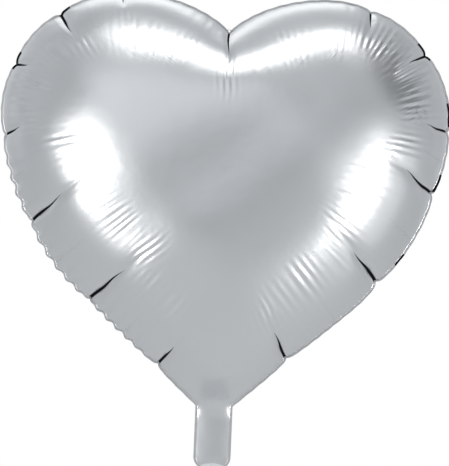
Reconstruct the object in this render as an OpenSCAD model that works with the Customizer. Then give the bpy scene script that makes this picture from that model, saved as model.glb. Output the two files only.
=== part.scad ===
// Heart-shaped foil balloon, inflated: two welded foil panels, a flat tail at the
// point of the heart, and a self-sealing film valve that runs up the tail.
// Origin: middle of the tail root, where a ribbon ties on. +Z runs up to the notch,
// -Y is the front, +X is to the right seen from the front.

/* [Heart outline] */
// Height from the tail root to the tops of the lobes
heart_h = 340; // [300:1:370]
// Distance of each lobe top from the middle
lobe_x = 83; // [78:1:95]
// Radius of the outer side of a lobe
lobe_r = 104; // [92:1:108]
// Radius of the shoulder between a lobe top and the notch
shoulder_r = 142; // [120:1:160]
// Angle of the straight lower sides from upright
side_deg = 49; // [45:1:53]
// Length of the straight lower sides
side_len = 127; // [100:1:150]

/* [Inflated shape] */
// Depth of one panel at its fullest
dome_h = 95; // [75:1:105]
// Height of the fullest point above the tail root
full_z = 184; // [160:1:205]
// Flatness of the middle of a panel
dome_flat = 2.6; // [2:0.1:3.5]
// Roundness of a panel towards the weld
dome_round = 0.57; // [0.45:0.01:0.8]
// Share of the depth lost at the point of the heart
point_taper = 0.85; // [0.5:0.01:0.95]
// Height over which that loss dies away
taper_len = 45; // [30:1:70]

/* [Puckers] */
// How deep a pucker cuts into the panel, as a share of the local depth
pucker_cut = 0.5; // [0:0.05:0.7]
// Half width of a pucker along the rim
pucker_w = 16; // [8:1:24]
// How far a pucker pulls the rim inwards
pucker_pull = 3.5; // [0:0.5:6]

/* [Foil] */
// Wall that stands in for the thin foil
foil_t = 0.5; // [0.4:0.05:0.8]
// Width of the flat welded band along the rim
weld_w = 3; // [2:0.5:5]

/* [Tail] */
// Width of the tail over its welded sides
neck_w = 31; // [26:0.5:40]
// Length of the tail below its root
neck_len = 52; // [40:1:70]
// Corner radius of the tail end
neck_r = 10; // [6:0.5:12]
// Bulge of each side of the tail
neck_bulge = 3; // [1:0.5:5]
// Half of the free gap between heart and tail at the fold line
root_gap = 1; // [0.8:0.1:1.5]

/* [Valve] */
// Width of the valve films
valve_w = 18; // [14:0.5:19]
// Thickness that stands in for one valve film
valve_t = 0.3; // [0.2:0.05:0.4]
// How far the valve films reach up inside the heart
valve_up = 78; // [50:1:110]
// Height of the film ends above the end of the tail
valve_inset = 4; // [3:0.5:8]

/* [Hidden] */

foil_color = [0.80, 0.81, 0.82];
film_color = [0.90, 0.92, 0.93];
deg = 180 / PI;

// Outline of the right half: shoulder arc, lobe arc, flank arc, straight side.
shoulder_c = [lobe_x, heart_h - shoulder_r];
lobe_c = [lobe_x, heart_h - lobe_r];
shoulder_deg = asin(lobe_x / shoulder_r);
side_n = [cos(side_deg), -sin(side_deg)];
side_top = [neck_w / 2 + side_len * sin(side_deg), side_len * cos(side_deg)];
to_side = side_top - lobe_c;
flank_r = (to_side * to_side - lobe_r * lobe_r) / (2 * (to_side * side_n - lobe_r));
flank_c = side_top - flank_r * side_n;
join_deg = atan2(flank_c[1] - lobe_c[1], lobe_c[0] - flank_c[0]);
len_1 = shoulder_r * shoulder_deg / deg;
len_2 = len_1 + lobe_r * (90 + join_deg) / deg;
len_3 = len_2 + flank_r * (side_deg - join_deg) / deg;
rim_len = len_3 + side_len - root_gap / cos(side_deg);
middle = [0, full_z];

// Puckers as [distance along the rim from the notch, length towards the middle].
pucker_right = [[0, 44], [122, 26], [183, 27], [254, 30], [307, 50], [397, 53], [494, 39]];
pucker_left = [[0, 44], [96, 14], [157, 32], [212, 18], [271, 23], [350, 57], [429, 64], [510, 31]];

function rim_deg(q) = q < len_1 ? 90 + shoulder_deg - q / shoulder_r * deg
    : q < len_2 ? 90 - (q - len_1) / lobe_r * deg
    : q < len_3 ? -join_deg - (q - len_2) / flank_r * deg
    : -side_deg;
function unit(a) = [cos(a), sin(a)];
function rim_n(q) = q == 0 ? [0, 1] : unit(rim_deg(q));
function rim_p(q) = q < len_1 ? shoulder_c + shoulder_r * unit(rim_deg(q))
    : q < len_2 ? lobe_c + lobe_r * unit(rim_deg(q))
    : q < len_3 ? flank_c + flank_r * unit(rim_deg(q))
    : side_top - (q - len_3) * [sin(side_deg), cos(side_deg)];

function total(v, i = 0) = i < len(v) ? v[i] + total(v, i + 1) : 0;
function near(q, at) = pow(max(0, 1 - abs(q - at) / pucker_w), 2);
function pull(q, list) = pucker_pull * total([for (c = list) c[0] > 0 ? near(q, c[0]) : 0]);
function groove(q, d, list) = min(0.8, pucker_cut
    * total([for (c = list) near(q, c[0]) * max(0, 1 - d / c[1])]));

// Stations along the rim, closer together beside each pucker.
function stops(list) = concat([for (c = list) c[0]], [rim_len]);
function stations(s) = [for (i = [0 : len(s) - 2])
    let (n = max(4, round((s[i + 1] - s[i]) / 9)))
    for (k = [0 : n - 1]) s[i] + (s[i + 1] - s[i]) * (1 - cos(180 * k / n)) / 2];

// One rim sample: [outer edge, weld line, gap to the mid plane, rim distance, pucker list].
function side_sample(q, list, sx) = let (n = rim_n(q), p = rim_p(q) - pull(q, list) * n,
    w = p - weld_w * n) [[sx * p[0], p[1]], [sx * w[0], w[1]], 0, q, list];
function corner_sample(list, sx) = let (p = rim_p(rim_len))
    [[sx * p[0], p[1]], [sx * (neck_w / 2 - weld_w), root_gap + 1.2], 0, rim_len, list];
function root_sample(x) = [[x, root_gap], [x, root_gap + 1.5], valve_t, rim_len, pucker_right];
function reversed(v) = [for (i = [len(v) - 1 : -1 : 0]) v[i]];

right_q = stations(stops(pucker_right));
left_q = stations(stops(pucker_left));
root_x = neck_w / 2 - weld_w - 2;
ring = concat(
    [for (q = right_q) side_sample(q, pucker_right, 1)],
    [corner_sample(pucker_right, 1)],
    [for (k = [0 : 6]) root_sample(root_x * (1 - k / 3))],
    [corner_sample(pucker_left, -1)],
    [for (q = reversed(left_q)) if (q > 0) side_sample(q, pucker_left, -1)]);
ring_n = len(ring);
rows = 14;

function share(j) = pow(1 - j / rows, 2);
function taper(z) = 1 - point_taper * exp(-max(0, z) / taper_len);
function depth(s, rho) = let (z = full_z + (s[1][1] - full_z) * rho,
    d = (1 - rho) * norm(s[1] - middle))
    dome_h * taper(z) * pow(max(0, 1 - pow(rho, dome_flat)), dome_round)
    * (1 - groove(s[3], d, s[4]));
function inward(p, t) = p - t * (p - middle) / norm(p - middle);
function dome_point(s, rho, t, sg) = let (w = inward(s[1], t == 0 ? foil_t : 0),
    p = middle + (w - middle) * rho) [p[0], sg * (t + s[2] + depth(s, rho)), p[1]];
function panel_points(t, sg) = concat(
    [for (s = ring) [s[0][0], sg * (t + s[2]), s[0][1]]],
    [for (j = [0 : rows - 1]) for (s = ring) dome_point(s, 1 - share(rows - j), t, sg)],
    [[0, sg * (t + dome_h * taper(full_z)), full_z]]);

function turned(f, sg) = sg < 0 ? f : [for (v = f) [v[0], v[2], v[1]]];
function band(a, b, n) = [for (i = [0 : n - 1]) let (k = (i + 1) % n)
    each [[a + i, a + k, b + k], [a + i, b + k, b + i]]];
function fan(a, tip, n) = [for (i = [0 : n - 1]) [a + i, a + (i + 1) % n, tip]];

// One foil panel: outer skin, inner skin and the edge that closes them.
module panel(sg) {
    outer = panel_points(foil_t, sg);
    inner = panel_points(0, sg);
    m = len(outer);
    faces = concat(
        [for (j = [0 : rows - 1]) each band(j * ring_n, (j + 1) * ring_n, ring_n)],
        fan(rows * ring_n, m - 1, ring_n),
        [for (f = concat(
            [for (j = [0 : rows - 1]) each band(j * ring_n, (j + 1) * ring_n, ring_n)],
            fan(rows * ring_n, m - 1, ring_n))) [m + f[0], m + f[2], m + f[1]]],
        band(m, 0, ring_n));
    polyhedron(points = concat(outer, inner), faces = turned(faces, sg), convexity = 8);
}

// Rows down the tail: [height, half width, width of the side weld].
neck_rows = concat(
    [for (k = [0 : 8]) [-root_gap - (neck_len - neck_r - root_gap) * k / 8, neck_w / 2, weld_w]],
    [for (a = [15 : 15 : 90]) [-(neck_len - neck_r) - neck_r * sin(a),
        neck_w / 2 - neck_r * (1 - cos(a)), weld_w - (weld_w - 0.8) * sin(a)]]);
neck_cols = [1, 0.8, 0.55, 0.28, 0, -0.28, -0.55, -0.8, -1];
neck_nc = len(neck_cols) + 4;

function swell(z) = let (u = (-z - root_gap) / (neck_len - root_gap)) neck_bulge * sin(180 * u);
function neck_row(r, t, sg) = let (inner_w = r[1] - r[2], pad = inner_w - 0.9) concat(
    [[r[1], sg * t, r[0]], [inner_w, sg * t, r[0]]],
    [for (c = neck_cols) [pad * c, sg * (t + valve_t + swell(r[0]) * (1 - c * c)), r[0]]],
    [[-inner_w, sg * t, r[0]], [-r[1], sg * t, r[0]]]);
function quad(a, b, c, d) = [[a, b, c], [a, c, d]];

// One foil side of the tail, flat along its welded edges and at its ends.
module neck_shell(sg) {
    outer = [for (r = neck_rows) each neck_row(r, foil_t, sg)];
    inner = [for (r = neck_rows) each neck_row(r, 0, sg)];
    m = len(outer);
    n = neck_nc;
    last = len(neck_rows) - 1;
    faces = concat(
        [for (k = [0 : last - 1]) for (i = [0 : n - 2])
            each quad(k * n + i, k * n + i + 1, (k + 1) * n + i + 1, (k + 1) * n + i)],
        [for (k = [0 : last - 1]) for (i = [0 : n - 2])
            each quad(m + k * n + i, m + (k + 1) * n + i, m + (k + 1) * n + i + 1, m + k * n + i + 1)],
        [for (i = [0 : n - 2]) each quad(i, m + i, m + i + 1, i + 1)],
        [for (i = [0 : n - 2])
            each quad(last * n + i, last * n + i + 1, m + last * n + i + 1, m + last * n + i)],
        [for (k = [0 : last - 1]) each quad(k * n, (k + 1) * n, m + (k + 1) * n, m + k * n)],
        [for (k = [0 : last - 1])
            each quad(k * n + n - 1, m + k * n + n - 1, m + (k + 1) * n + n - 1, (k + 1) * n + n - 1)]);
    polyhedron(points = concat(outer, inner), faces = turned(faces, -sg), convexity = 6);
}

// One valve film as a flat strip on its own side of the mid plane.
module film(z0, z1, tip, sg) {
    translate([0, sg < 0 ? 0 : valve_t, 0])
        rotate([90, 0, 0])
            linear_extrude(height = valve_t)
                polygon([[-valve_w / 2, z0], [valve_w / 2, z0], [valve_w / 2, z1 - tip],
                         [valve_w / 2 - tip, z1], [tip - valve_w / 2, z1], [-valve_w / 2, z1 - tip]]);
}

// Front foil panel of the heart, with its half of the rim weld.
module front_panel() {
    color(foil_color) panel(-1);
}

// Back foil panel of the heart, with its half of the rim weld.
module back_panel() {
    color(foil_color) panel(1);
}

// Front valve film, the length that reaches up inside the heart.
module valve_front_film() {
    color(film_color) film(root_gap, valve_up, 3, -1);
}

// Back valve film, the length that reaches up inside the heart.
module valve_back_film() {
    color(film_color) film(root_gap, valve_up, 3, 1);
}

// Front foil of the tail, the same sheet as the front panel.
module neck_front() {
    color(foil_color) neck_shell(-1);
}

// Back foil of the tail, the same sheet as the back panel.
module neck_back() {
    color(foil_color) neck_shell(1);
}

// Front valve film, the length inside the tail.
module neck_valve_front() {
    color(film_color) film(-neck_len + valve_inset, -root_gap, 1, -1);
}

// Back valve film, the length inside the tail.
module neck_valve_back() {
    color(film_color) film(-neck_len + valve_inset, -root_gap, 1, 1);
}

front_panel();
back_panel();
valve_front_film();
valve_back_film();
neck_front();
neck_back();
neck_valve_front();
neck_valve_back();
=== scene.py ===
import math

import bpy
import numpy as np
from mathutils import Matrix, Vector


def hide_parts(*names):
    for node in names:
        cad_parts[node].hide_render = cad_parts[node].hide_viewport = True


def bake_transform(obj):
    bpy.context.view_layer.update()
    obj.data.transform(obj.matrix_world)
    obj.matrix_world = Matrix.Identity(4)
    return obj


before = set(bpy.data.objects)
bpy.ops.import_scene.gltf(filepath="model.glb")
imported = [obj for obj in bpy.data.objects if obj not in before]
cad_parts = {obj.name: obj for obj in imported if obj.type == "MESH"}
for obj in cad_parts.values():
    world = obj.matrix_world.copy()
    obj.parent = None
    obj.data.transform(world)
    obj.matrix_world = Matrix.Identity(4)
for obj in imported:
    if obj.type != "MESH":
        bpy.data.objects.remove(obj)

# Lengths in the shape functions are in millimetres, and meshes are made in metres.
MM = 0.001
scene = bpy.context.scene
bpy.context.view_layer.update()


# ---------------------------------------------------------------- camera
# Level with the middle of the whole balloon, with a long lens, and rolled so the heart leans a little
LEAN = math.radians(2.35)
CAMERA_PLACE = (0.0028, -2.2, 0.1436)
LENS = 205.5
SENSOR_WIDE = 36
camera = bpy.data.objects.new("camera", bpy.data.cameras.new("camera"))
scene.collection.objects.link(camera)
scene.camera = camera
camera.data.lens = LENS
camera.data.sensor_width = SENSOR_WIDE
roll = Matrix(
    (
        (math.cos(LEAN), -math.sin(LEAN), 0),
        (0, 0, -1),
        (math.sin(LEAN), math.cos(LEAN), 0),
    )
)
camera.matrix_world = Matrix.Translation(CAMERA_PLACE) @ roll.to_4x4()


# ---------------------------------------------------------------- outlines
class Heart:
    """One half of a heart outline, made of a shoulder arc, a lobe arc, a flank arc and a straight side."""

    def __init__(self, high, lobe_x, lobe_r, shoulder_r, side_deg, side_len, foot):
        self.side = math.radians(side_deg)
        self.lobe_r = lobe_r
        self.shoulder_r = shoulder_r
        self.shoulder_c = np.array([lobe_x, high - shoulder_r])
        self.lobe_c = np.array([lobe_x, high - lobe_r])
        self.start = math.asin(min(1, lobe_x / shoulder_r))
        out = np.array([math.cos(self.side), -math.sin(self.side)])
        self.top = np.array([foot + side_len * math.sin(self.side), side_len * math.cos(self.side)])
        gap = self.top - self.lobe_c
        self.flank_r = (gap @ gap - lobe_r**2) / (2 * (gap @ out - lobe_r))
        self.flank_c = self.top - self.flank_r * out
        self.join = math.atan2(self.flank_c[1] - self.lobe_c[1], self.lobe_c[0] - self.flank_c[0])
        self.to_lobe = shoulder_r * self.start
        self.to_flank = self.to_lobe + lobe_r * (math.pi / 2 + self.join)
        self.to_side = self.to_flank + self.flank_r * (self.side - self.join)
        self.length = self.to_side + side_len

    def angle(self, q):
        """Direction the outline faces, q mm from the notch."""
        if q < self.to_lobe:
            return math.pi / 2 + self.start - q / self.shoulder_r
        if q < self.to_flank:
            return math.pi / 2 - (q - self.to_lobe) / self.lobe_r
        if q < self.to_side:
            return -self.join - (q - self.to_flank) / self.flank_r
        return -self.side

    def point(self, q):
        """Place on the outline, q mm from the notch."""
        a = self.angle(q)
        out = np.array([math.cos(a), math.sin(a)])
        if q < self.to_lobe:
            return self.shoulder_c + self.shoulder_r * out
        if q < self.to_flank:
            return self.lobe_c + self.lobe_r * out
        if q < self.to_side:
            return self.flank_c + self.flank_r * out
        return self.top - (q - self.to_side) * np.array([math.sin(self.side), math.cos(self.side)])


# Width of the flat welded edge, and the tail's half width, length and corner radius
WELD = 2.2
NECK_HALF = 15.5
NECK_LONG = 52.0
NECK_ROUND = 10.0
NECK_WELD = NECK_HALF - WELD
# The inflated heart: height, x of the lobe's centre, radii of lobe and shoulder, and the angle and
# length of the straight side
FILLED = Heart(340, 83, 104, 142, 49, 127, NECK_HALF)

# Where a panel is fullest, and how far it stands out there before its wrinkles
MIDDLE = np.array([0.0, 184.0])
DOME = 95.0
# How far the notch's first point lies below the outline
NOTCH_DROP = 2.4
# Inside its rim a panel lies at least this far from the mid plane
PANEL_CLEAR = 0.2
# The finished sheet is then moved this much further from it
SHEET_SHIFT = 0.12

# Crease mark of a point, which places the painted shade: mm from the nearest crease's line, share of its
# length, strength of the painted shade
NO_MARK = (50.0, 2.0, 0.0)
# The welded edge gets a little painted shade all along, and its flecks are painted shade at full strength
WELD_SHADE_MARK = (0.74, 0.1, 0.5)
FLECK_SHADE_MARK = (0, 0.1, 1)

# The crease at the notch: depth and length
NOTCH_CREASE = (7, 44)
# Puckers round the rim, 1 the right side and -1 the left: mm from the notch, depth, length of the
# crease, its lean in degrees
PUCKERS = {
    1: [
        (124, 6, 27, 10),
        (184, 7, 30, -6),
        (254, 7, 34, -12),
        (308, 9, 52, -16),
        (396, 10, 56, -6),
        (494, 8, 42, -12),
    ],
    -1: [
        (95, 5, 16, -4),
        (152, 8, 36, -2),
        (209, 7, 20, -12),
        (271, 7, 26, -10),
        (348, 9, 60, -10),
        (430, 9, 68, 8),
        (508, 8, 36, -2),
    ],
}


# Gap between rim samples beside a pucker, and what is added to it this far away or further
FINE_GAP = 0.55
ADDED_GAP = 1.5
PUCKER_REACH = 12
# Near the notch the outward direction turns until it points straight up
NOTCH_TURN = 14
# Distances given to the samples past the straight side: round the corner, and across the tail root
CORNER_SPOT = FILLED.length + 1
ROOT_SPOT = FILLED.length + 3
LEAST_COLUMNS = 31


def rim_stops(side):
    """Distances from the notch of the rim samples on one side, closer together beside each pucker."""
    stops, q = [], 0.35
    while q < FILLED.length - 0.8:
        stops.append(q)
        near = min([q] + [abs(q - pucker[0]) for pucker in PUCKERS[side]])
        q += FINE_GAP + ADDED_GAP * min(1, near / PUCKER_REACH)
    return stops + [FILLED.length]


def rim_side(side):
    """Rim samples of one side: place of the weld line, direction outwards and distance from the notch."""
    places, outward, distance = [], [], []
    for q in rim_stops(side):
        a = FILLED.angle(q)
        out = np.array([math.cos(a), math.sin(a)])
        places.append(FILLED.point(q) - WELD * out)
        if q < NOTCH_TURN:
            out = np.array([out[0] * q / NOTCH_TURN, 1.0])
            out /= np.linalg.norm(out)
        outward.append(out)
        distance.append(q)
    for a in np.linspace(-FILLED.side, 0, 5)[1:-1]:
        places.append((NECK_HALF - WELD * math.cos(a), -WELD * math.sin(a)))
        outward.append((math.cos(a), math.sin(a)))
        distance.append(CORNER_SPOT)
    flip = np.array([side, 1])
    return np.array(places) * flip, np.array(outward) * flip, np.array(distance) * side


class Rim:
    """The loop of rim samples: from the notch down the right, across the tail root and up the left."""

    def __init__(self):
        right, right_out, right_q = rim_side(1)
        left, left_out, left_q = rim_side(-1)
        # Enough columns across the tail to make the number of samples a multiple of four
        spare = (len(right) + len(left) + 1) % 4
        self.columns = LEAST_COLUMNS + (4 - spare) % 4
        across = self.columns + 1
        turn = np.linspace(0, math.pi, across)
        root = np.stack([NECK_WELD * np.cos(turn), np.zeros(across)], 1)
        root_out = np.stack([np.sign(np.round(root[:, 0], 6)), np.zeros(across)], 1)
        notch = np.array([[0, FILLED.point(0)[1] - NOTCH_DROP]])
        self.places = np.vstack([notch, right, root, left[::-1]])
        self.out = np.vstack([[[0, 1]], right_out, root_out, left_out[::-1]])
        self.distance = np.concatenate([[0], right_q, np.full(across, ROOT_SPOT), left_q[::-1]])
        self.welded = np.abs(self.distance) < ROOT_SPOT
        self.root = len(right) + 1
        self.root_end = self.root + self.columns


def along(points):
    """Distance walked along a path up to each of its points."""
    return np.r_[0, np.cumsum(np.linalg.norm(np.diff(points, axis=0), axis=1))]


# ---------------------------------------------------------------- shape of a taut panel
# The depth follows the solution of an evenly pressed skin over the outline, found with
# point sources outside it, and is then rounded like an inflated pair of sheets.
def weld_loop():
    """The line inside the weld round heart and tail: its right half, the whole, and the root's index."""
    stops = np.arange(0, FILLED.length, 0.5)
    turned = [FILLED.angle(q) for q in stops]
    side = np.array([FILLED.point(q) for q in stops])
    side = side - WELD * np.stack([np.cos(turned), np.sin(turned)], 1)
    corner = np.linspace(math.pi - FILLED.side, math.pi, 6)
    corner = np.array([NECK_HALF, 0]) + WELD * np.stack([np.cos(corner), np.sin(corner)], 1)
    long, turn = NECK_LONG - WELD, NECK_ROUND - WELD
    straight = np.stack([np.full(85, NECK_WELD), np.linspace(0, turn - long, 85)], 1)
    bend = np.linspace(0, -math.pi / 2, 24)
    bend = np.array([NECK_WELD - turn, turn - long]) + turn * np.stack([np.cos(bend), np.sin(bend)], 1)
    end = np.stack([np.linspace(NECK_WELD - turn, 0, 12), np.full(12, -long)], 1)
    top = np.array([[0, side[0, 1]]])
    half = np.vstack([top, side, corner[1:], straight[1:], bend[1:], end[1:]])
    return half, np.vstack([half, (half * [-1, 1])[-2:0:-1]]), len(side) + len(corner) - 1


def source_ring(half, root):
    """Point sources outside the line, nearer to it and closer together by the notch and the tail."""
    run = along(half)
    slope = np.gradient(half, axis=0)
    out = np.stack([-slope[:, 1], slope[:, 0]], 1)
    out /= np.linalg.norm(out, axis=1)[:, None]
    out[0] = (0, 1)
    spots, walked, last = [], math.inf, 0
    for i, s in enumerate(run):
        by_notch = 1.2 + 0.4 * s
        by_root = 2 + 0.35 * abs(s - run[root])
        gap = min(5, by_root) if i > root else min(22, by_notch, by_root)
        walked += s - last
        last = s
        if walked > 0.5 * gap:
            walked = 0
            spots.append(half[i] + out[i] * gap)
    spots = np.array(spots)
    return np.vstack([spots, (spots * [-1, 1])[spots[:, 0] > 0.01]])


HALF, LOOP, ROOT = weld_loop()
SOURCES = source_ring(HALF, ROOT)


def waves_of_sources(points):
    """What each source alone gives at each point, and a constant; the 100 mm only sets the scale."""
    gaps = np.linalg.norm(points[:, None, :] - SOURCES[None], axis=2) / 100
    return np.hstack([np.log(gaps), np.ones((len(points), 1))])


def parabola(points):
    """The even pressure's own part of the solution; the 200 mm only sets the scale."""
    return ((points - MIDDLE) ** 2).sum(1) / 200**2


WEIGHTS = np.linalg.lstsq(waves_of_sources(LOOP), parabola(LOOP), rcond=1e-13)[0]


def pressed(points):
    """Height of an evenly pressed skin that is held at the weld line."""
    return waves_of_sources(points) @ WEIGHTS - parabola(points)


FULLEST = pressed(MIDDLE[None])[0]

# How the skin's height is rounded into an inflated panel's: flatter on top and steeper at the rim
TOP_POWER = 1.7
RIM_POWER = 0.55
# The share of its depth that the heart loses at the tail root, and how far up that fades
ROOT_LOSS = 0.35
ROOT_FADE = 30
# How far the tail bulges, the length over which its end closes, and the spread of the sides above it
TAIL_BULGE = 1.1
TAIL_CLOSING = 9
SIDE_SPREAD = 1.15
# The tail's shape gives way to the heart's from this far below the root, over this height
MIX_BELOW = 12
MIX_HIGH = 40


def rounded(share):
    return (1 - (1 - np.clip(share, 0, 1)) ** TOP_POWER) ** RIM_POWER


def smooth_step(x):
    x = np.clip(x, 0, 1)
    return x * x * (3 - 2 * x)


def depth_at(points):
    """Depth of one panel over each point of the mid plane: a full heart that runs out into a flat tail."""
    x, z = points[:, 0], points[:, 1]
    taper = 1 - ROOT_LOSS * np.exp(-np.maximum(z, 0) / ROOT_FADE)
    heart = DOME * taper * rounded(pressed(points) / FULLEST)
    half = NECK_WELD + SIDE_SPREAD * np.maximum(z, 0)
    closing = np.clip((z + NECK_LONG - WELD) / TAIL_CLOSING, 0, 1) ** 0.7
    tail = TAIL_BULGE * closing * np.clip(1 - (x / half) ** 2, 0, 1)
    mix = smooth_step((z + MIX_BELOW) / MIX_HIGH)
    return mix * heart + (1 - mix) * tail


def ripple(values, low, high, count, rng):
    """Uneven waves: a sum of sines with wavelengths between low and high."""
    total = np.zeros(len(values))
    for _ in range(count):
        total += np.sin(2 * math.pi * values / rng.uniform(low, high) + rng.uniform(0, 6.28))
    return total / math.sqrt(count)


def nearest_rim(points, rim, distance):
    """Distance to the rim and the rim position nearest to each point, worked out in batches."""
    batch = 4000
    slope = np.roll(rim, -1, axis=0) - np.roll(rim, 1, axis=0)
    slope /= np.linalg.norm(slope, axis=1)[:, None]
    gap = np.empty(len(points))
    spot = np.empty(len(points))
    for i in range(0, len(points), batch):
        part = points[i : i + batch]
        square = ((part[:, None, :] - rim[None]) ** 2).sum(2)
        best = square.argmin(1)
        gap[i : i + batch] = np.sqrt(square[np.arange(len(part)), best])
        beside = ((part - rim[best]) * slope[best]).sum(1)
        spot[i : i + batch] = distance[best] + np.clip(beside, -1.5, 1.5)
    return gap, spot


# Width of a crease's valley and of the slit in it, and how much wider each gets per mm inwards
VALLEY = (13, 0.1)
SLIT = (1.7, 0.04)
# Shares of a crease's depth that the valley and the slit have
VALLEY_SHARE = 0.55
SLIT_SHARE = 0.6
# A crease has half its depth at the rim and all of it this far in
FULL_DEPTH_AT = 9
# The inner end frays into small ridges: their height, and their spacing across the crease
FRAY_HIGH = 0.28
FRAY_GAP = 5.2
# Depth of a crease whose line of painted shade has full strength, and the notch crease's own strength of
# painted shade
SHADE_FULL_DEPTH = 8.5
NOTCH_SHADE = 0.6


def creases(back):
    """Crease lines: rim point, inward direction, length and depth. The back's lean and length differ."""
    depth, length = NOTCH_CREASE
    notch = np.array([0.0, FILLED.point(0)[1] - NOTCH_DROP])
    lines = [(notch, np.array([0.0, -1.0]), length, depth)]
    for side in (1, -1):
        for spot, depth, length, lean in PUCKERS[side]:
            a = FILLED.angle(spot)
            out = np.array([math.cos(a), math.sin(a)])
            turned = a + math.pi + math.radians(-lean if back else lean)
            inward = np.array([side * math.cos(turned), math.sin(turned)])
            reach = length * (0.9 + 0.35 * math.sin(spot)) if back else length
            lines.append(((FILLED.point(spot) - WELD * out) * [side, 1], inward, reach, depth))
    return lines


def press_in(points, lines):
    """How far the creases press in at each point, and the mark, for painted shade, that the nearest crease
    leaves.
    """
    push = np.zeros(len(points))
    mark = np.tile(NO_MARK, (len(points), 1))
    for root, inward, length, depth in lines:
        away = points - root
        down = away @ inward
        across = away @ np.array([-inward[1], inward[0]])
        across = across + 0.5 * np.sin(down / 5 + length)
        share = np.clip(down / length, 0, 1)
        soft = np.sqrt(across**2 + 0.16)
        grow = 0.5 + 0.5 * np.clip(down / FULL_DEPTH_AT, 0, 1)
        valley = np.exp(-soft / (VALLEY[0] + VALLEY[1] * np.maximum(down, 0)))
        slit = np.exp(-soft / (SLIT[0] + SLIT[1] * np.maximum(down, 0)))
        push -= depth * grow * (1 - share) ** 1.2 * (VALLEY_SHARE * valley + SLIT_SHARE * slit)
        fray = np.exp(-(((down - 0.95 * length) / 13) ** 2) - (across / 8) ** 2)
        push += FRAY_HIGH * fray * np.sin(2 * math.pi * across / FRAY_GAP + length)
        nearer = (np.abs(across) < np.abs(mark[:, 0])) & (down < 1.1 * length) & (down > -8)
        mark[nearer, 0] = across[nearer]
        mark[nearer, 1] = np.maximum(down[nearer] / length, 0)
        mark[nearer, 2] = depth / SHADE_FULL_DEPTH if root[0] else NOTCH_SHADE
    return push, mark


# Patches of fine wrinkles: place along the rim, half its length there, distance in from the rim,
# half its width and height of the wrinkles. Places left of the notch are negative.
PATCHES = [
    (20, 22, 36, 22, 0.30),
    (70, 45, 42, 24, 0.34),
    (155, 30, 22, 20, 1.25),
    (218, 34, 25, 23, 1.60),
    (276, 26, 34, 22, 0.25),
    (350, 46, 58, 28, 0.28),
    (445, 45, 44, 24, 0.20),
    (-20, 22, 36, 22, 0.30),
    (-70, 45, 42, 24, 0.38),
    (-182, 28, 26, 20, 0.70),
    (-240, 36, 24, 24, 1.20),
    (-305, 36, 54, 28, 0.24),
    (-390, 40, 66, 20, 0.22),
    (-470, 36, 44, 24, 0.26),
]


# Scallops: their spacing along the rim, how far in they fade, and their height; on the lower left they
# are higher by SCALLOP_MORE between these two distances from the notch, with soft ends of 40 mm
SCALLOP_GAP = 12.5
SCALLOP_FADE = 7
SCALLOP_HIGH = 0.15
SCALLOP_MORE = 1.0
SCALLOP_FROM, SCALLOP_TO, SCALLOP_END = 270, 510, 40
# Heights of the faint wrinkles beside the rim all round, and of the broad unevenness of the panel
FAINT_HIGH = 0.05
BROAD_HIGH = 0.35


def wrinkles(points, gap, spot, rng):
    """Scallops at the weld and the fine wrinkles that run in from it."""
    near = np.abs(spot)
    for side in (1, -1):
        for pucker in PUCKERS[side]:
            near = np.minimum(near, np.abs(spot - side * pucker[0]))
    lower_left = smooth_step((-spot - SCALLOP_FROM) / SCALLOP_END)
    high = SCALLOP_HIGH + SCALLOP_MORE * lower_left * smooth_step((SCALLOP_TO + spot) / SCALLOP_END)
    bumps = 1 - np.cos(2 * math.pi * (spot + 5 * np.sin(spot / 37)) / SCALLOP_GAP)
    push = -high * np.clip(near / PUCKER_REACH, 0, 1) * bumps * np.exp(-gap / SCALLOP_FADE)
    wave = ripple(spot + 0.03 * gap * np.sin(spot / 23), 5.2, 11, 7, rng)
    wave *= np.clip(0.85 + 0.6 * ripple(spot + 0.3 * gap, 18, 60, 4, rng), 0.35, 1.7)
    wave /= 0.7 + 0.4 * np.abs(wave)
    for place, half, inwards, reach, tall in PATCHES:
        here = smooth_step(1.25 - np.abs(spot - place) / half)
        here = here * smooth_step(1 - np.abs(gap - inwards) / reach)
        push += tall * here * wave
    above_root = np.clip((points[:, 1] - 12) / 20, 0, 1)
    push += FAINT_HIGH * smooth_step(gap / 5) * smooth_step(1 - gap / 70) * above_root * wave
    broad = ripple(points @ [0.8, 0.6], 60, 130, 4, rng) + ripple(points @ [-0.6, 0.8], 60, 130, 4, rng)
    push += BROAD_HIGH * broad * smooth_step(gap / 40)
    return push


# Rows of points from the rim to the middle, and the usual distance between the two
ROWS = 87
USUAL_REACH = 150


def rings():
    """Shares of the way from the middle to the rim, from the rim inwards, nearly even on the surface."""
    gap = np.linspace(0, 1, 4000) ** 3 * USUAL_REACH
    tall = DOME * rounded(1 - (1 - gap / USUAL_REACH) ** 2)
    run = along(np.stack([gap, tall], 1))
    picked = np.interp(run[-1] * np.linspace(0, 1, ROWS) ** 1.15, run, gap)
    return 1 - picked[:-1] / USUAL_REACH


def face_directions(grid):
    """Outward directions of a grid of points whose columns close in a loop."""
    sideways = np.roll(grid, -1, axis=1) - np.roll(grid, 1, axis=1)
    inwards = np.gradient(grid, axis=0)
    facing = np.cross(sideways, inwards)
    facing /= np.linalg.norm(facing, axis=2)[:, :, None] + 1e-12
    facing *= np.where(facing[-1, :, 1].mean() > 0, -1, 1)
    return facing


def neck_rows():
    """Heights and half widths down the tail."""
    long, turn = NECK_LONG - WELD, NECK_ROUND - WELD
    straight = [(z, NECK_WELD) for z in np.linspace(0, turn - long, 30)[1:]]
    bend = np.linspace(0, math.pi / 2, 9)[1:]
    return straight + [(turn - long - turn * math.sin(a), NECK_WELD - turn * (1 - math.cos(a))) for a in bend]


def end_directions(path):
    """Outward directions round the tail."""
    slope = np.gradient(path, axis=0)
    out = np.stack([-slope[:, 1], slope[:, 0]], 1)
    return out / np.linalg.norm(out, axis=1)[:, None]


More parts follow.
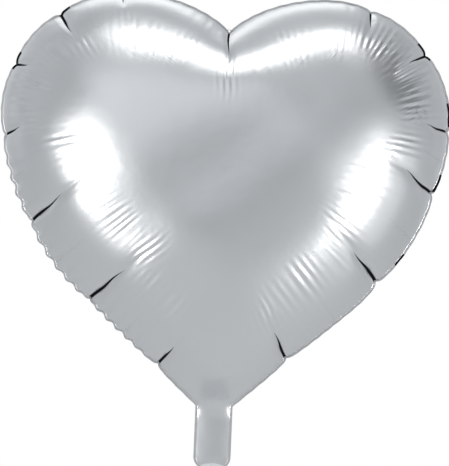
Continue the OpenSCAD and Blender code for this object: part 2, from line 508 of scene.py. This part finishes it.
class Sheet:
    """The points, crease marks for painted shade and faces of a foil sheet while it is built."""

    def __init__(self):
        self.places = np.zeros((0, 3))
        self.marks = np.zeros((0, 3))
        self.faces = []

    def add(self, places, marks):
        """Add points with their marks, and give the points' numbers."""
        first = len(self.places)
        self.places = np.vstack([self.places, places])
        self.marks = np.vstack([self.marks, marks])
        return list(range(first, first + len(places)))

    def join(self, row, beyond):
        """Add the faces between two rows of points."""
        for i in range(len(row) - 1):
            self.faces.append((row[i + 1], row[i], beyond[i], beyond[i + 1]))


def panel_flat(rim):
    """Places of a panel's points on the mid plane, in rows from the rim inwards."""
    shares = rings()
    even = 1 - (1 - shares[-1]) * np.linspace(0, 1, len(shares)) ** 1.3
    by_root = np.clip((20 - FILLED.length + np.abs(rim.distance)) / 16, 0, 1)
    spread = shares[:, None] * (1 - by_root) + even[:, None] * by_root
    return MIDDLE + spread[:, :, None] * (rim.places - MIDDLE)[None]


def panel_shape(rim, back):
    """Places and crease marks, for painted shade, of a panel's points, in rows from the rim inwards."""
    flat = panel_flat(rim)
    rows, wide = flat.shape[:2]
    points = flat.reshape(-1, 2)
    deep = depth_at(points).reshape(rows, wide)
    deep[0, rim.welded] = 0
    deep[0, [rim.root, rim.root_end]] = 0
    grid = np.stack([flat[:, :, 0], -deep, flat[:, :, 1]], 2)
    facing = face_directions(grid)
    facing[0] = np.stack([rim.out[:, 0], np.zeros(wide), rim.out[:, 1]], 1)
    gap, spot = nearest_rim(points, rim.places[rim.welded], rim.distance[rim.welded])
    push, marks = press_in(points, creases(back))
    push += wrinkles(points, gap, spot, np.random.default_rng(23 if back else 8))
    push = push.reshape(rows, wide)
    push[0, np.abs(rim.distance) > FILLED.length - 0.5] = 0
    grid = grid + facing * push[:, :, None]
    grid[1:, :, 1] = np.minimum(grid[1:, :, 1], -PANEL_CLEAR)
    return grid, marks


def add_panel(sheet, rim, back):
    """Add the heart panel. Its first points are the rim's, and a fan of faces closes its middle."""
    grid, marks = panel_shape(rim, back)
    rows, wide = grid.shape[:2]
    sheet.add(grid.reshape(-1, 3), marks)
    pole = sheet.add([grid[-1].mean(axis=0)], [NO_MARK])[0]
    for j in range(rows - 1):
        for i in range(wide):
            k = (i + 1) % wide
            sheet.faces.append((j * wide + i, j * wide + k, (j + 1) * wide + k, (j + 1) * wide + i))
    last = (rows - 1) * wide
    for i in range(wide):
        sheet.faces.append((last + i, last + (i + 1) % wide, pole))


def add_tail(sheet, rim):
    """Add this side's half of the tail, and give the numbers of the points round its edge."""
    turn = np.cos(np.linspace(0, math.pi, rim.columns + 1))
    above = list(range(rim.root, rim.root_end + 1))
    right, left = [], []
    for z, half in neck_rows():
        row = np.stack([half * turn, np.full(rim.columns + 1, z)], 1)
        tall = depth_at(row) * (1 + 0.05 * np.sin(z / 5 + row[:, 0] / 4))
        tall[[0, -1]] = 0
        if z < WELD - NECK_LONG + 0.01:
            tall[:] = 0
        places = np.stack([row[:, 0], -tall, row[:, 1]], 1)
        here = sheet.add(places, np.tile(NO_MARK, (len(row), 1)))
        sheet.join(above, here)
        right.append(here[0])
        left.append(here[-1])
        above = here
    return right + above[1:-1] + left[::-1]


# The weld's two rows of faces end at these shares of its drawn width, a little short of the outline
WELD_ROWS = (0.2, 1.0)
WELD_DRAWN = 0.95
WELD_WAVE = 0.15
# Flecks of painted shade lie on the weld between these distances from the notch, and end sooner on the left
SHADE_FLECKS_FROM, SHADE_FLECKS_TO, SHADE_FLECKS_LEFT_TO = 130, 420, 300
SHADE_FLECK_LEVEL = 0.8


def add_weld(sheet, rim, tail):
    """Add the flat welded edge round heart and tail, slightly wavy, with a little painted shade all along and
    flecks of painted shade.
    """
    before = list(range(rim.root + 1))
    after = list(range(rim.root_end, len(rim.places)))
    inner = before + tail + after
    path = sheet.places[inner][:, [0, 2]]
    round_tail = end_directions(path[len(before) : len(before) + len(tail)])
    out = np.vstack([rim.out[before], round_tail, rim.out[after]])
    wave = WELD_WAVE * ripple(along(path), 8, 26, 6, np.random.default_rng(11))
    walk = np.abs(rim.distance[before + [rim.root + 1] * len(tail) + after])
    # Flecks of painted shade, standing in for the dark spots where the welded edge folds
    shade_flecks = ripple(walk * np.sign(path[:, 0]), 16, 70, 6, np.random.default_rng(4)) > SHADE_FLECK_LEVEL
    shade_flecks &= (walk > SHADE_FLECKS_FROM) & (walk < SHADE_FLECKS_TO)
    shade_flecks &= ~((walk > SHADE_FLECKS_LEFT_TO) & (path[:, 0] < 0))
    marks = np.tile(WELD_SHADE_MARK, (len(inner), 1))
    marks[shade_flecks] = FLECK_SHADE_MARK
    for part in WELD_ROWS:
        edge = path + out * WELD * WELD_DRAWN * part
        outer = sheet.add(np.stack([edge[:, 0], wave * part, edge[:, 1]], 1), marks)
        sheet.join(inner + inner[:1], outer + outer[:1])
        inner = outer


def foil_sheet(name, back):
    """One foil sheet, the heart panel with its side of the tail and the welded edge, as one mesh."""
    rim = Rim()
    sheet = Sheet()
    add_panel(sheet, rim, back)
    tail = add_tail(sheet, rim)
    add_weld(sheet, rim, tail)
    sheet.places[:, 1] -= SHEET_SHIFT
    if back:
        sheet.places[:, 1] *= -1
        sheet.faces = [face[::-1] for face in sheet.faces]
    mesh = bpy.data.meshes.new(name)
    mesh.from_pydata((sheet.places * MM).tolist(), [], sheet.faces)
    layer = mesh.attributes.new("crease", "FLOAT_VECTOR", "POINT")
    layer.data.foreach_set("vector", sheet.marks.astype(np.float32).ravel())
    piece = bpy.data.objects.new(name, mesh)
    scene.collection.objects.link(piece)
    return piece


# ---------------------------------------------------------------- materials
class Graph:
    """Short ways to make the shader nodes that the materials and the room use."""

    def __init__(self, tree):
        self.nodes = tree.nodes
        self.links = tree.links

    def feed(self, socket, value):
        """Link a socket to another one's output, or set it to a plain value."""
        if isinstance(value, bpy.types.NodeSocket):
            self.links.new(value, socket)
        else:
            socket.default_value = value

    def reckon(self, operation, *values):
        """The result of arithmetic on outputs and plain numbers."""
        step = self.nodes.new("ShaderNodeMath")
        step.operation = operation
        for socket, value in zip(step.inputs, values):
            self.feed(socket, value)
        return step.outputs["Value"]

    def map(self, value, from_range, to_range, smooth=False):
        """A value carried from one range to another, and held at its ends."""
        step = self.nodes.new("ShaderNodeMapRange")
        if smooth:
            step.interpolation_type = "SMOOTHSTEP"
        ends = (*from_range, *to_range)
        for end, number in zip(("From Min", "From Max", "To Min", "To Max"), ends):
            step.inputs[end].default_value = number
        self.feed(step.inputs["Value"], value)
        return step.outputs["Result"]

    def noise(self, where, scale, detail):
        """Soft cloudy noise from 0 to 1."""
        cloud = self.nodes.new("ShaderNodeTexNoise")
        cloud.inputs["Scale"].default_value = scale
        cloud.inputs["Detail"].default_value = detail
        self.links.new(where, cloud.inputs["Vector"])
        return cloud.outputs["Fac"]

    def split(self, vector):
        """The X, Y and Z outputs of a vector."""
        parts = self.nodes.new("ShaderNodeSeparateXYZ")
        self.links.new(vector, parts.inputs["Vector"])
        return parts.outputs["X"], parts.outputs["Y"], parts.outputs["Z"]

    def place(self, kind):
        """Texture coordinates of one kind."""
        return self.nodes.new("ShaderNodeTexCoord").outputs[kind]


FOIL_COLOUR = (0.80, 0.81, 0.82, 1)
# Near-black colour of the painted shade in the creases, on the welded edge and in its flecks
PAINTED_SHADE_COLOUR = (0.01, 0.01, 0.012, 1)
FILM_COLOUR = (0.90, 0.92, 0.93, 1)
# Width in mm of a crease's line of painted shade near the rim and at its thin end, before its strength
# counts, and the share of the crease's length over which it narrows
SHADE_LINE_WIDE, SHADE_LINE_FINE, SHADE_LINE_SHARE = 2.4, 0.01, 0.62


def paint(name, build):
    material = bpy.data.materials.new(name)
    material.use_nodes = True
    build(Graph(material.node_tree), material.node_tree.nodes["Principled BSDF"].inputs)
    return material


def foil_look(graph, shader):
    """Satin metal with painted shade: near black and not metallic along the creases' lines, where the crease
    marks say that the foil is folded, and on the welded edge and its flecks. The creases' dents are real
    geometry.
    """
    shader["Specular IOR Level"].default_value = 0
    where = graph.place("Object")
    graph.feed(shader["Roughness"], graph.map(graph.noise(where, 9, 3), (0, 1), (0.26, 0.36)))
    crease = graph.nodes.new("ShaderNodeAttribute")
    crease.attribute_name = "crease"
    across, share, strength = graph.split(crease.outputs["Vector"])
    width = graph.map(share, (0, SHADE_LINE_SHARE), (SHADE_LINE_WIDE, SHADE_LINE_FINE))
    width = graph.reckon("MULTIPLY", width, graph.map(share, (0, 0.2), (0.8, 1.0)))
    width = graph.reckon("MULTIPLY_ADD", width, strength, 0.001)
    ratio = graph.reckon("DIVIDE", graph.reckon("ABSOLUTE", across), width)
    # Painted shade: how far the foil is turned near black and non-metallic, from the crease marks
    painted_shade = graph.map(ratio, (0.5, 0.95), (1, 0), smooth=True)
    graph.feed(shader["Metallic"], graph.reckon("SUBTRACT", 1, painted_shade))
    shade = graph.nodes.new("ShaderNodeMix")
    shade.data_type = "RGBA"
    graph.feed(shade.inputs[0], painted_shade)
    shade.inputs[6].default_value = FOIL_COLOUR
    shade.inputs[7].default_value = PAINTED_SHADE_COLOUR
    graph.feed(shader["Base Color"], shade.outputs[2])
    bump = graph.nodes.new("ShaderNodeBump")
    bump.inputs["Strength"].default_value = 0.12
    bump.inputs["Distance"].default_value = 0.002
    graph.feed(bump.inputs["Height"], graph.noise(where, 60, 2))
    graph.feed(shader["Normal"], bump.outputs["Normal"])


def film_look(graph, shader):
    """Milky, half clear film."""
    shader["Base Color"].default_value = FILM_COLOUR
    shader["Alpha"].default_value = 0.6
    cloud = graph.noise(graph.place("Object"), 140, 2)
    graph.feed(shader["Roughness"], graph.map(cloud, (0, 1), (0.12, 0.3)))


foil = paint("foil", foil_look)
film = paint("valve_film", film_look)


def finish_piece(piece, material, nodes):
    for p in piece.data.polygons:
        p.use_smooth = True
    piece.data.materials.clear()
    piece.data.materials.append(material)
    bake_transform(piece)
    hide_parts(*nodes)


# Each valve film: half its width and the heights of its ends, in millimetres
FILM_HALF = 9.0
FILM_LOW, FILM_HIGH = -51.5, 78.0

for name, back in (("front_foil", False), ("back_foil", True)):
    sheet = foil_sheet(name, back)
    end = "back" if back else "front"
    finish_piece(sheet, foil, (end + "_panel", "neck_" + end))


def valve_strip(name, side):
    """One film of the valve: a soft strip from the end of the tail up into the heart."""
    across, up = 12, 90
    points, faces = [], []
    for j in range(up + 1):
        z = FILM_LOW + (FILM_HIGH - FILM_LOW) * j / up
        for i in range(across + 1):
            x = FILM_HALF * (2 * i / across - 1)
            bulge = math.cos(math.pi * x / FILM_HALF / 2)
            y = 0.25 + 0.35 * bulge * (1 + 0.4 * math.sin(z / 9 + side))
            points.append((x * MM, side * y * MM, z * MM))
    wide = across + 1
    for j in range(up):
        for i in range(across):
            a = j * wide + i
            faces.append((a, a + 1, a + wide + 1, a + wide))
    mesh = bpy.data.meshes.new(name)
    mesh.from_pydata(points, [], faces)
    if side > 0:
        mesh.flip_normals()
    strip = bpy.data.objects.new(name, mesh)
    scene.collection.objects.link(strip)
    return strip


for name, side in (("valve_front", -1), ("valve_back", 1)):
    strip = valve_strip(name, side)
    end = "front" if side < 0 else "back"
    finish_piece(strip, film, ("valve_" + end + "_film", "neck_valve_" + end))


# ---------------------------------------------------------------- floor and light
FLOOR_HALF = 6
FLOOR_Z = -0.90
LIT_POINT = Vector((0, 0, 0.18))


def floor_look(graph, shader):
    """Pale matt floor with a faint glow."""
    shader["Base Color"].default_value = (0.86, 0.86, 0.86, 1)
    shader["Roughness"].default_value = 0.6
    shader["Emission Color"].default_value = (1, 1, 1, 1)
    shader["Emission Strength"].default_value = 0.06


def make_floor():
    mesh = bpy.data.meshes.new("floor")
    corners = [(x * FLOOR_HALF, y * FLOOR_HALF, 0) for x, y in ((-1, -1), (1, -1), (1, 1), (-1, 1))]
    mesh.from_pydata(corners, [], [(0, 1, 2, 3)])
    mesh.materials.append(paint("floor", floor_look))
    floor = bpy.data.objects.new("floor", mesh)
    floor.location = (0, 0, FLOOR_Z)
    scene.collection.objects.link(floor)


def softbox(name, place, wide, high, power, spread):
    """A rectangular light in metres and watts that points at the balloon; its spread is in degrees."""
    light = bpy.data.lights.new(name, "AREA")
    light.shape = "RECTANGLE"
    light.size = wide
    light.size_y = high
    light.energy = power
    light.spread = math.radians(spread)
    lamp = bpy.data.objects.new(name, light)
    scene.collection.objects.link(lamp)
    lamp.location = place
    lamp.rotation_euler = (LIT_POINT - Vector(place)).to_track_quat("-Z", "Y").to_euler()


make_floor()
softbox("top_light", (0.12, -0.42, 1.6), 1.25, 0.66, 4.9, 180)
softbox("left_light", (-1.17, -1.27, -0.07), 0.42, 0.6, 1.3, 70)
softbox("right_light", (1.2, -1.1, -0.22), 0.34, 0.42, 1.3, 70)
softbox("right_fill", (1.4, -0.45, -0.4), 1.2, 1.0, 1.1, 180)
softbox("back_light", (-0.2, 1.6, 1.5), 1.2, 0.8, 2.2, 180)

# The room is grey in reflections. Its colour goes from the first of these below to the second above.
ROOM_LOW = (0.40, 0.415, 0.43, 1)
ROOM_HIGH = (0.45, 0.465, 0.48, 1)
# Soft spots in the room: direction, cosine of the angle where it ends, change of strength at its centre
ROOM_SPOTS = [
    ((-0.26, -0.87, 0.42), 0.88, 1.0),
    ((0.74, -0.12, 0.66), 0.84, -0.6),
]


def room_strength(graph, where, y):
    """Strength of the room: rising towards the back, uneven, with one bright and one dark spot."""
    strength = graph.map(y, (-1, 1), (0.92, 1.3))
    uneven = graph.map(graph.noise(where, 3, 1), (0.3, 0.7), (0.75, 1.25))
    strength = graph.reckon("MULTIPLY", strength, uneven)
    for spot, edge, change in ROOM_SPOTS:
        facing = graph.nodes.new("ShaderNodeVectorMath")
        facing.operation = "DOT_PRODUCT"
        facing.inputs[1].default_value = spot
        graph.feed(facing.inputs[0], where)
        glow = graph.map(facing.outputs["Value"], (edge, 1), (0, change), smooth=True)
        strength = graph.reckon("ADD", strength, glow)
    return strength


def make_room():
    """Plain white to the camera, and soft grey in reflections."""
    world = bpy.data.worlds.new("room")
    scene.world = world
    world.use_nodes = True
    graph = Graph(world.node_tree)
    where = graph.place("Generated")
    _, y, z = graph.split(where)
    ramp = graph.nodes.new("ShaderNodeValToRGB")
    ramp.color_ramp.elements[0].position = 0.3
    ramp.color_ramp.elements[0].color = ROOM_LOW
    ramp.color_ramp.elements[1].position = 0.95
    ramp.color_ramp.elements[1].color = ROOM_HIGH
    graph.feed(ramp.inputs["Fac"], graph.map(z, (-1, 1), (0, 1)))
    room = graph.nodes["Background"]
    graph.feed(room.inputs["Color"], ramp.outputs["Color"])
    graph.feed(room.inputs["Strength"], room_strength(graph, where, y))
    white = graph.nodes.new("ShaderNodeBackground")
    white.inputs["Color"].default_value = (1, 1, 1, 1)
    path = graph.nodes.new("ShaderNodeLightPath")
    pick = graph.nodes.new("ShaderNodeMixShader")
    graph.feed(pick.inputs["Fac"], path.outputs["Is Camera Ray"])
    graph.feed(pick.inputs[1], room.outputs["Background"])
    graph.feed(pick.inputs[2], white.outputs["Background"])
    graph.feed(graph.nodes["World Output"].inputs["Surface"], pick.outputs["Shader"])


make_room()
scene.view_settings.view_transform = "Standard"
scene.cycles.max_bounces = 8
